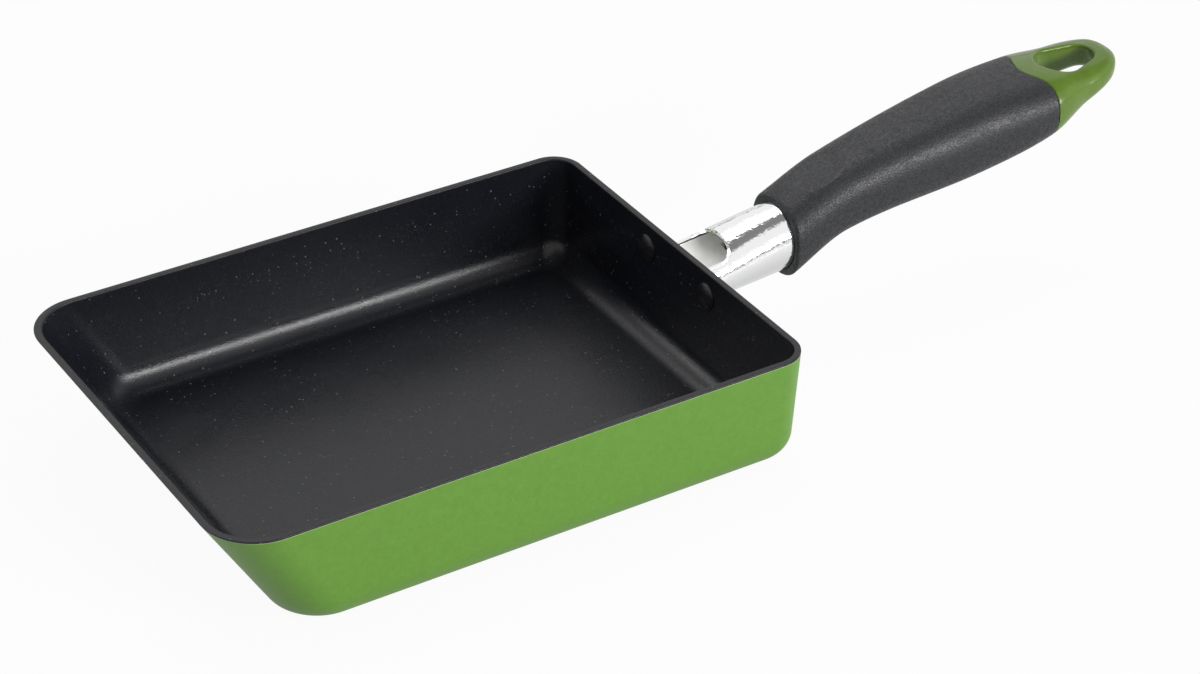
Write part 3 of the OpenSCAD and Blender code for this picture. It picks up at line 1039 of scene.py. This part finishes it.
@dataclass
class RivetPair(Piece):
    """The two rivets, set along a line by a small geometry tree."""

    slot = "rivet"
    node = "handle_rivets"
    finishes = (FinishName.RIVET,)
    sharp_deg = 35
    weighted = False

    joint: Joint
    wall: float = 2
    shank_d: float = 5
    head_d: float = 8.6
    head_h: float = 1.4
    tail_d: float = 7.4
    tail_h: float = 1.5
    rim_h: float = 0.25
    axis_r: float = 0.002
    dome_steps: int = 14
    around: int = 56
    count: int = 2

    def dome(self, diameter: float, height: float) -> list[tuple[float, float]]:
        """Profile of a low dome with a short upright rim, from its edge to its top.

        Args:
            diameter: Across the dome.
            height: From the sheet to the dome's top.

        Returns:
            Points (radius, height).
        """
        rise = height - self.rim_h
        ball = ((diameter / 2) ** 2 + rise ** 2) / (2 * rise)
        sweep = math.degrees(math.asin(diameter / 2 / ball))
        turns = [sweep * (1 - k / self.dome_steps) for k in range(self.dome_steps + 1)]
        return [(diameter / 2, 0.0)] + [(max(self.axis_r, ball * sin_deg(a)),
                                         self.rim_h + ball * cos_deg(a) - (ball - rise)) for a in turns]

    def master(self) -> Object:
        """One rivet, turned about +X, with its head inside the pan."""
        joint = self.joint
        head = [(r, -self.wall - h) for r, h in reversed(self.dome(self.head_d, self.head_h))]
        tail = [(r, joint.flange_t + h) for r, h in self.dome(self.tail_d, self.tail_h)]
        shank = [(self.shank_d / 2, -self.wall), (self.shank_d / 2, joint.flange_t)]
        return turned("rivet_master", head + shank + tail, self.around)

    @staticmethod
    def tree() -> Tree:
        """A tree that sets copies of an object along a line in Y.

        Returns:
            The geometry node group, with the object, the count and the span as inputs.
        """
        graph = new_tree("GeometryNodeTree", "rivets_on_a_line",
                         {"Geometry": "Geometry", "Rivet": "Object", "Count": "Int", "Span": "Float"},
                         {"Geometry": "Geometry"})
        source = graph.add("NodeGroupInput").outputs
        gap = graph.math("DIVIDE", source["Span"], graph.math("SUBTRACT", source["Count"], 1))
        start = graph.add("ShaderNodeCombineXYZ", {"Y": graph.math("MULTIPLY", source["Span"], -0.5)})
        step = graph.add("ShaderNodeCombineXYZ", {"Y": gap})
        line = graph.add("GeometryNodeMeshLine", {"Count": source["Count"], "Offset": step.outputs[0],
                                                  "Start Location": start.outputs[0]})
        one = graph.add("GeometryNodeObjectInfo", {"Object": source["Rivet"]})
        placed = graph.add("GeometryNodeInstanceOnPoints", {"Points": line.outputs[0],
                                                            "Instance": one.outputs["Geometry"]})
        real = graph.add("GeometryNodeRealizeInstances", {0: placed.outputs[0]})
        graph.add("NodeGroupOutput", {0: real.outputs[0]})
        return graph.tree

    def shape(self) -> Object:
        """Sets both rivets through the handle wall."""
        master = self.master()
        piece = mesh_object("rivet_pair", [(0, 0, 0)], [])
        modifier = piece.modifiers.new("rivets", "NODES")
        modifier.node_group = self.tree()
        values = {"Rivet": master, "Count": self.count, "Span": self.joint.rivet_span * MM}
        for socket in modifier.node_group.interface.items_tree:
            if socket.in_out == "INPUT" and socket.name in values:
                modifier[socket.identifier] = values[socket.name]
        settle(piece)
        bpy.data.objects.remove(master, do_unlink=True)
        move_mesh(piece, self.joint.wall_matrix())
        return piece


@dataclass
class HandleForm:
    """The one smooth form that the grip and the end cap share."""

    joint: Joint
    front_x: float = 125.7
    grip_length: float = 94.5
    cap_length: float = 31.5
    fullness: float = 2.6
    nose_length: float = 17
    nose_edge: float = 5
    stations: tuple = ((0, 12.5, 12.2, 0), (19.845, 12.8, 11.1, 9.4), (68.985, 16.2, 12.8, 17.8),
                       (94.5, 16.6, 10.5, 21.6), (109.5, 13.3, 6.6, 25.2), (126, 13.5, 3.7, 28.5))
    tongue_length: float = 4.2
    tongue_width: float = 26

    @property
    def front_z(self) -> float:
        """Height of the neck's axis at the grip's front."""
        joint = self.joint
        return joint.rim_z - joint.neck_drop + joint.neck_length * tan_deg(joint.neck_rise)

    @property
    def length(self) -> float:
        """Length from the grip's front to the cap's tip."""
        return self.grip_length + self.cap_length

    def column(self, u: np.ndarray, k: int) -> np.ndarray:
        """A smooth curve through one column of the stations.

        Args:
            u: Distances from the grip's front.
            k: The column: 1 half width, 2 half thickness, 3 rise.

        Returns:
            The values at those distances.
        """
        table = np.array(self.stations, float)
        at, values = table[:, 0], table[:, k]
        ends = np.arange(len(at))
        before, after = np.maximum(ends - 1, 0), np.minimum(ends + 1, len(at) - 1)
        slopes = (values[after] - values[before]) / (at[after] - at[before])
        i = np.clip(np.searchsorted(at, u, side="right") - 1, 0, len(at) - 2)
        run = at[i + 1] - at[i]
        t = (u - at[i]) / run
        t2, t3 = t * t, t * t * t
        return (values[i] * (2 * t3 - 3 * t2 + 1) + values[i + 1] * (3 * t2 - 2 * t3)
                + run * (slopes[i] * (t3 - 2 * t2 + t) + slopes[i + 1] * (t3 - t2)))

    def closing(self, u: np.ndarray, length: float) -> np.ndarray:
        """How much of the size is left as the nose closes over its last length."""
        part = np.clip((u - self.length + length) / length, 0, 1)
        return np.sqrt(np.maximum(0, 1 - part ** 2))

    def half_width(self, u: np.ndarray) -> np.ndarray:
        """Half width at distances from the grip's front."""
        return self.column(u, 1) * self.closing(u, self.nose_length)

    def half_height(self, u: np.ndarray) -> np.ndarray:
        """Half thickness at distances from the grip's front."""
        return self.column(u, 2) * self.closing(u, self.nose_edge)

    def centre(self, u: np.ndarray) -> np.ndarray:
        """Height of the centre line at distances from the grip's front."""
        return self.front_z + self.column(u, 3)

    def surface(self, u: np.ndarray | float, turn: np.ndarray, edge: float = 0) -> Ring:
        """Points on the handle's skin.

        Args:
            u: Distances from the grip's front, or one for all.
            turn: Angles round the section, in radians from +Y towards +Z.
            edge: How far inside the skin the points lie.

        Returns:
            The points, in millimetres.
        """
        u = np.broadcast_to(u, turn.shape)
        power = 2 / self.fullness
        y = (self.half_width(u) - edge) * signed_power(np.cos(turn), power)
        z = self.centre(u) + (self.half_height(u) - edge) * signed_power(np.sin(turn), power)
        return np.stack([self.front_x + u, y, z], -1)

    def tongue_reach(self, y: np.ndarray, above: np.ndarray) -> np.ndarray:
        """How far the cap's tongue reaches forward of the seam at points across the handle."""
        half = self.tongue_width / 2
        wave = np.cos(np.clip(y / half, -1, 1) * math.pi / 2) ** 2
        return np.where(above, self.tongue_length * wave, 0.0)


@dataclass
class Grip(Piece):
    """The black moulding with a lip, a waist, a thumb rest and a palm swell."""

    slot = "grip_moulding"
    node = "grip"
    finishes = (FinishName.GRIP,)
    sharp_deg = 45
    weighted = False

    form: HandleForm
    lip_round: float = 0.9
    seam_round: float = 0.35
    seam_gap: float = 0.15
    spigot_length: float = 4
    spigot_bevel: float = 0.4
    spigot_middle: float = 0.3
    recess_edge: tuple[float, float] = (0.02, 0.03)
    thumb_run: float = 15
    thumb_length: float = 10
    thumb_width: float = 7.4
    thumb_dip: float = 1.1
    line_width: float = 0.28
    line_depth: float = 0.1
    around: int = 160
    steps: int = 180
    lip_steps: int = 8
    seam_steps: int = 5
    end_shares: tuple[float, ...] = (0.8, 0.4)

    def skin_rings(self) -> list[Ring]:
        """Rings from the lip's front edge to the seam's edge."""
        form, lip, seam = self.form, self.lip_round, self.seam_round
        turn = full_turn(self.around)
        reach = form.tongue_reach(form.surface(form.grip_length, turn)[:, 1], np.sin(turn) > 0)
        stop = form.grip_length - reach - self.seam_gap - seam
        rings = [form.surface(lip * (1 - cos_deg(a)), turn, lip * (1 - sin_deg(a)))
                 for a in quarter_turn(self.lip_steps)]
        rings += [form.surface(lip + (stop - lip) * share, turn)
                  for share in np.linspace(0, 1, self.steps + 1)[1:]]
        rings += [form.surface(stop + seam * sin_deg(a), turn, seam * (1 - cos_deg(a)))
                  for a in quarter_turn(self.seam_steps)[1:]]
        return [self.carve(ring) for ring in rings]

    def carve(self, ring: Ring) -> Ring:
        """Sinks the thumb rest and the mould's parting line into a ring.

        Args:
            ring: Points on the handle's skin.

        Returns:
            The points after carving.
        """
        form = self.form
        u = ring[:, 0] - form.front_x
        above = ring[:, 2] > form.centre(u)
        reach = ((u - self.thumb_run) / self.thumb_length) ** 2 + (ring[:, 1] / self.thumb_width) ** 2
        dip = np.where(above, self.thumb_dip * smoothstep(1 - reach), 0)
        level = (ring[:, 2] - form.centre(u)) / self.line_width
        line = self.line_depth * np.exp(-level ** 2) * np.sign(ring[:, 1])
        out = ring.copy()
        out[:, 2] -= dip
        out[:, 1] -= line
        return out

    def socket_rings(self) -> list[Ring]:
        """Rings of the sleeve's recess and the spigot, from the lip's inner edge to the spigot's front."""
        joint = self.form.joint
        matrix = np.array(joint.neck_matrix())
        matrix[:3, 3] /= MM
        recess = joint.sleeve_r + joint.sleeve_fit
        spigot = joint.sleeve_r - joint.sleeve_t - joint.sleeve_fit
        start, end = joint.neck_length - self.spigot_length, joint.sleeve_end()
        back, into = self.recess_edge
        rings = []
        for radius, s in ((recess, end - back), (recess - into, end), (spigot, end),
                          (spigot, start + self.spigot_bevel), (spigot - self.spigot_bevel, start),
                          (spigot * self.spigot_middle, start)):
            points = np.column_stack([ellipse(s, radius, radius, self.around), np.ones(self.around)])
            rings.append((points @ matrix.T)[:, :3])
        along = matrix[:3, 0] / matrix[0, 0]
        mouth = rings[0] + np.outer(self.form.front_x - rings[0][:, 0], along)
        return [mouth] + rings

    def shape(self) -> Object:
        """Joins the socket's rings, the skin and the closed rear end."""
        rings = self.skin_rings()
        last = rings[-1]
        centre = last.mean(0)
        inner = [centre + (last - centre) * s for s in self.end_shares]
        return skin_object("grip_moulding", self.socket_rings()[::-1] + rings + inner)


@dataclass
class EndCap(Piece):
    """The glossy end with its tongue over the grip and a hanging eye through it."""

    slot = "cap_moulding"
    node = "end_cap"
    finishes = (FinishName.CAP,)
    sharp_deg = 50
    weighted = False

    form: HandleForm
    eye_run: float = 15
    eye_length: float = 20.4
    eye_width: float = 15
    eye_wide: float = 2.5
    eye_front_d: float = 10
    eye_rear_d: float = 11
    eye_lean: float = 11
    eye_round: float = 1.0
    eye_flare: float = 2.2
    seam_round: float = 0.55
    around: int = 240
    facings: int = 1440
    halvings: int = 48
    farthest: float = 60
    out_steps: int = 44
    wall_steps: int = 8
    front_steps: int = 6
    round_steps: int = 8

    def eye_radius(self, turn: np.ndarray, least: float = 0.05) -> np.ndarray:
        """Distance from the eye's middle to its wall, by direction.

        Args:
            turn: Directions in radians from +X.
            least: Cosine under which a tangent is taken as facing away.

        Returns:
            The distances: the outline is the hull of three circles on the X axis.
        """
        rear = (self.eye_length - self.eye_rear_d) / 2
        front = -(self.eye_length - self.eye_front_d) / 2
        circles = ((rear, self.eye_rear_d / 2), (-self.eye_wide, self.eye_width / 2),
                   (front, self.eye_front_d / 2))
        facing = full_turn(self.facings)
        support = np.max([cx * np.cos(facing) + r for cx, r in circles], axis=0)
        across = np.cos(facing[None, :] - turn[:, None])
        return np.min(np.where(across > least, support[None, :] / np.maximum(across, least), np.inf), axis=1)

    def outline_radius(self, turn: np.ndarray) -> np.ndarray:
        """Distance from the eye's middle to the cap's outline in plan, by direction.

        Args:
            turn: Directions in radians from +X.

        Returns:
            The distances, found by halving.
        """
        form = self.form
        low, high = np.zeros_like(turn), np.full_like(turn, self.farthest)
        for _ in range(self.halvings):
            middle = (low + high) / 2
            u = form.grip_length + self.eye_run + middle * np.cos(turn)
            held = np.clip(u, form.grip_length, form.length)
            inside = (u == held) & (np.abs(middle * np.sin(turn)) <= form.half_width(held))
            low, high = np.where(inside, middle, low), np.where(inside, high, middle)
        return low

    def height(self, x: np.ndarray, y: np.ndarray, side: int) -> np.ndarray:
        """Height of the cap's skin over a point in plan.

        Args:
            x: Places along the handle.
            y: Places across it.
            side: 1 for the top, -1 for the underside.

        Returns:
            The heights, in millimetres.
        """
        form = self.form
        u = np.clip(x - form.front_x, 0, form.length)
        wide = np.maximum(form.half_width(u), 1e-6)
        share = np.clip(np.abs(y) / wide, 0, 1)
        left = (1 - share ** form.fullness) ** (1 / form.fullness)
        return form.centre(u) + side * form.half_height(u) * left

    def directions(self) -> np.ndarray:
        """Directions round the eye, with one exactly at each corner between the seam and the sides."""
        form = self.form
        corner = math.atan2(float(form.half_width(np.array(form.grip_length))), -self.eye_run)
        front = np.linspace(corner, 2 * math.pi - corner, self.around // 3, endpoint=False)
        rear = np.linspace(-corner, corner, self.around - len(front), endpoint=False)
        return np.concatenate([rear, front])

    def lip_points(self, turn: np.ndarray, lip: np.ndarray, side: int,
                   passes: int = 4) -> tuple[np.ndarray, np.ndarray, float]:
        """Where the slanted eye's lip meets the skin.

        Args:
            turn: Directions round the eye.
            lip: Distance of the lip from the eye's middle.
            side: 1 for the top, -1 for the underside.
            passes: How often the place is worked out anew from its height.

        Returns:
            The points' x and y, and the height of the eye's middle.
        """
        form = self.form
        middle_x = form.front_x + form.grip_length + self.eye_run
        middle_z = float(form.centre(np.array(form.grip_length + self.eye_run)))
        x, y = middle_x + lip * np.cos(turn), lip * np.sin(turn)
        for _ in range(passes):
            level = self.height(x, y, side) - middle_z
            x = middle_x + lip * np.cos(turn) - tan_deg(self.eye_lean) * level
        return x, y, middle_z

    def side_rings(self, side: int, turn: np.ndarray, touch: float = 1e-3) -> list[Ring]:
        """Rings on the top or the underside, from the eye's wall to the cap's outline.

        Args:
            side: 1 for the top, -1 for the underside.
            turn: Directions round the eye.
            touch: How near the seam an end point counts as on it.

        Returns:
            The rings, from the eye outwards.
        """
        form = self.form
        along, across = np.cos(turn), np.sin(turn)
        middle_x = form.front_x + form.grip_length + self.eye_run
        eye, outline = self.eye_radius(turn), self.outline_radius(turn)
        reach = form.tongue_reach(outline * across, np.full_like(turn, side > 0, dtype=bool))
        at_front = (along < 0) & (np.abs(outline * along + self.eye_run) < touch)
        end_x, end_y = middle_x + outline * along - np.where(at_front, reach, 0), outline * across
        rounding = self.eye_round if side > 0 else self.eye_flare
        lip_x, lip_y, middle_z = self.lip_points(turn, eye + rounding, side)
        level = self.height(lip_x, lip_y, side) - side * rounding
        rings = []
        for a in quarter_turn(self.round_steps)[:-1]:
            r = eye + rounding * (1 - cos_deg(a))
            z = level + side * rounding * sin_deg(a)
            slant = tan_deg(self.eye_lean) * (z - middle_z)
            rings.append(np.stack([middle_x + r * along - slant, r * across, z], 1))
        for share in np.sin(np.linspace(0, math.pi / 2, self.out_steps + 1)):
            x, y = lip_x + (end_x - lip_x) * share, lip_y + (end_y - lip_y) * share
            gap = np.where(at_front, np.abs(end_x - x), self.seam_round)
            into = np.maximum(0, self.seam_round - gap)
            drop = self.seam_round - np.sqrt(np.maximum(0, self.seam_round ** 2 - into ** 2))
            rings.append(np.stack([x, y, self.height(x, y, side) - side * drop], 1))
        return rings

    def shape(self) -> Object:
        """Closes the top, the seam face, the underside and the eye's wall into one skin."""
        turn = self.directions()
        top, under = self.side_rings(1, turn), self.side_rings(-1, turn)
        wall = [under[0] + (top[0] - under[0]) * k / self.wall_steps for k in range(1, self.wall_steps)]
        front = [top[-1] + (under[-1] - top[-1]) * k / self.front_steps for k in range(1, self.front_steps)]
        return skin_object("end_cap_moulding", wall + top + front + under[::-1], closed=True)


# The studio

@dataclass(frozen=True)
class Viewpoint:
    """The camera, as turns about the pan and offsets in the picture."""

    azimuth: float = -32.67
    elevation: float = 33.01
    roll: float = 0.97
    focal_px: float = 3326
    shift_right: float = -53.513
    shift_up: float = 0.737
    distance: float = 946.584
    aim_height: float = 37
    sensor: float = 36
    nearest: float = 0.01

    def build(self) -> None:
        """Makes the camera and gives it to the scene."""
        back = Vector((sin_deg(self.azimuth) * cos_deg(self.elevation),
                       -cos_deg(self.azimuth) * cos_deg(self.elevation), sin_deg(self.elevation)))
        level = (-back).cross(Vector((0, 0, 1))).normalized()
        upright = level.cross(-back)
        right = level * cos_deg(self.roll) + upright * sin_deg(self.roll)
        up = upright * cos_deg(self.roll) - level * sin_deg(self.roll)
        place = (back * self.distance - right * self.shift_right - up * self.shift_up
                 + Vector((0, 0, self.aim_height))) * MM
        camera = bpy.data.cameras.new("camera")
        camera.sensor_width = self.sensor
        camera.lens = self.focal_px * self.sensor / IMAGE_WIDTH_PX
        camera.clip_start = self.nearest
        holder = link("camera", camera)
        holder.matrix_world = Matrix((right, up, back)).transposed().to_4x4()
        holder.location = place
        bpy.context.scene.camera = holder


@dataclass(frozen=True)
class Softbox:
    """A soft area lamp that faces the pan."""

    name: str
    direction: tuple[float, float, float]
    distance: float
    width: float
    height: float
    watts: float

    def build(self, aim: Vector) -> None:
        """Makes the lamp, facing a point."""
        lamp = bpy.data.lights.new(self.name, "AREA")
        lamp.shape = "RECTANGLE"
        lamp.size, lamp.size_y = self.width, self.height
        lamp.energy = self.watts
        holder = link(self.name, lamp)
        toward = Vector(self.direction).normalized()
        holder.location = aim + toward * self.distance
        holder.rotation_euler = toward.to_track_quat("Z", "Y").to_euler()


@dataclass
class Studio:
    """A pale floor, a white surround and soft lamps."""

    lamps: tuple[Softbox, ...] = (
        Softbox("key_softbox", (0.36, -0.76, 0.31), 1.5, 1.0, 0.28, 21),
        Softbox("back_softbox", (-0.54, 0.74, 0.40), 1.8, 0.9, 0.4, 3.5),
        Softbox("top_softbox", (0.1, 0.42, 0.9), 1.6, 1.2, 0.8, 7),
    )
    aim: tuple[float, float, float] = (0.04, 0, 0.03)
    floor_size: float = 30
    floor_grey: float = 0.6
    floor_roughness: float = 0.8
    floor_to_camera: float = 0.94
    floor_to_metal: float = 0.45
    surround_level: float = 0.55
    strip_across: tuple[float, float, float] = (0.005, -0.999, -0.044)
    strip_edge: tuple[float, float] = (0.28, 0.34)
    strip_foot: tuple[float, float] = (0.6, 0.75)
    strip_level: float = 0.24
    skirting_foot: tuple[float, float] = (0.115, 0.13)
    skirting_top: tuple[float, float] = (0.175, 0.195)
    skirting_level: float = 0.1

    def build_floor(self) -> None:
        """Makes the floor, which the camera and the metal see as near white."""
        half = self.floor_size / 2 / MM
        corners = [(-half, -half, 0), (half, -half, 0), (half, half, 0), (-half, half, 0)]
        floor = mesh_object("studio_floor", corners, [(0, 1, 2, 3)])
        material = bpy.data.materials.new("pale_floor")
        material.use_nodes = True
        graph = Graph(material.node_tree)
        matt = graph.add("ShaderNodeBsdfPrincipled", {"Base Color": (*(self.floor_grey,) * 3, 1),
                                                      "Roughness": self.floor_roughness})
        glow = graph.add("ShaderNodeEmission", {"Color": (1, 1, 1, 1), "Strength": 1.0})
        path = graph.add("ShaderNodeLightPath")
        to_camera = graph.math("MULTIPLY", path.outputs["Is Camera Ray"], self.floor_to_camera)
        to_metal = graph.math("MULTIPLY", path.outputs["Is Glossy Ray"], self.floor_to_metal)
        blend = graph.add("ShaderNodeMixShader", {0: graph.math("MAXIMUM", to_camera, to_metal),
                                                  1: matt.outputs[0], 2: glow.outputs[0]})
        graph.add("ShaderNodeOutputMaterial", {"Surface": blend.outputs[0]})
        coat(floor, material)

    def build_surround(self) -> None:
        """Makes the world: white to the camera, and to metal a white room with a dark strip and skirting."""
        world = bpy.data.worlds.new("surround")
        bpy.context.scene.world = world
        world.use_nodes = True
        graph = Graph(world.node_tree)
        toward = graph.add("ShaderNodeTexCoord").outputs["Generated"]
        height = graph.add("ShaderNodeSeparateXYZ", {0: toward}).outputs[2]
        apart = graph.add("ShaderNodeVectorMath", {0: toward, 1: self.strip_across}, operation="DOT_PRODUCT")
        off_strip = graph.math("ABSOLUTE", apart.outputs["Value"])
        strip = graph.math("MAXIMUM", graph.span(off_strip, *self.strip_edge, self.strip_level, 1.0),
                           graph.span(height, *self.strip_foot, 1.0, 0.0))
        skirting = graph.math("MAXIMUM", graph.span(height, *self.skirting_foot, 1.0, self.skirting_level),
                              graph.span(height, *self.skirting_top, self.skirting_level, 1.0))
        seen = graph.math("MULTIPLY", strip, skirting)
        path = graph.add("ShaderNodeLightPath")
        shaded = graph.mix(path.outputs["Is Glossy Ray"], (self.surround_level,) * 3, seen)
        level = graph.mix(path.outputs["Is Camera Ray"], shaded, (1.0, 1.0, 1.0))
        light = graph.add("ShaderNodeBackground", {"Color": level, "Strength": 1.0})
        graph.add("ShaderNodeOutputWorld", {0: light.outputs[0]})

    def build(self) -> None:
        """Makes the floor, the surround and the lamps."""
        self.build_floor()
        self.build_surround()
        for lamp in self.lamps:
            lamp.build(Vector(self.aim))
        bpy.context.scene.view_settings.view_transform = "Standard"


@dataclass
class Fasteners:
    """The bolt, its washer and its nut, which keep their CAD shapes."""

    nodes: tuple[str, ...] = ("tie_bolt", "bolt_washer", "bracket_nut")

    def build(self, palette: Palette) -> None:
        """Gives the CAD solids a plated finish."""
        for name in self.nodes:
            coat(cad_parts[name], palette.get(FinishName.FASTENER))
            log.info("%s: keeps its CAD shape", name)


def main() -> None:
    """Builds the camera, the studio and every piece, in order."""
    logging.basicConfig(level=logging.INFO, format="%(name)s: %(message)s")
    Viewpoint().build()
    Studio().build()
    palette = Palette()
    joint = Joint()
    form = HandleForm(joint)
    PanShell().build(palette)
    HandleBracket(joint).build(palette)
    RivetPair(joint).build(palette)
    NeckSleeve(joint).build(palette)
    Grip(form).build(palette)
    EndCap(form).build(palette)
    Fasteners().build(palette)


if __name__ == "__main__":
    main()
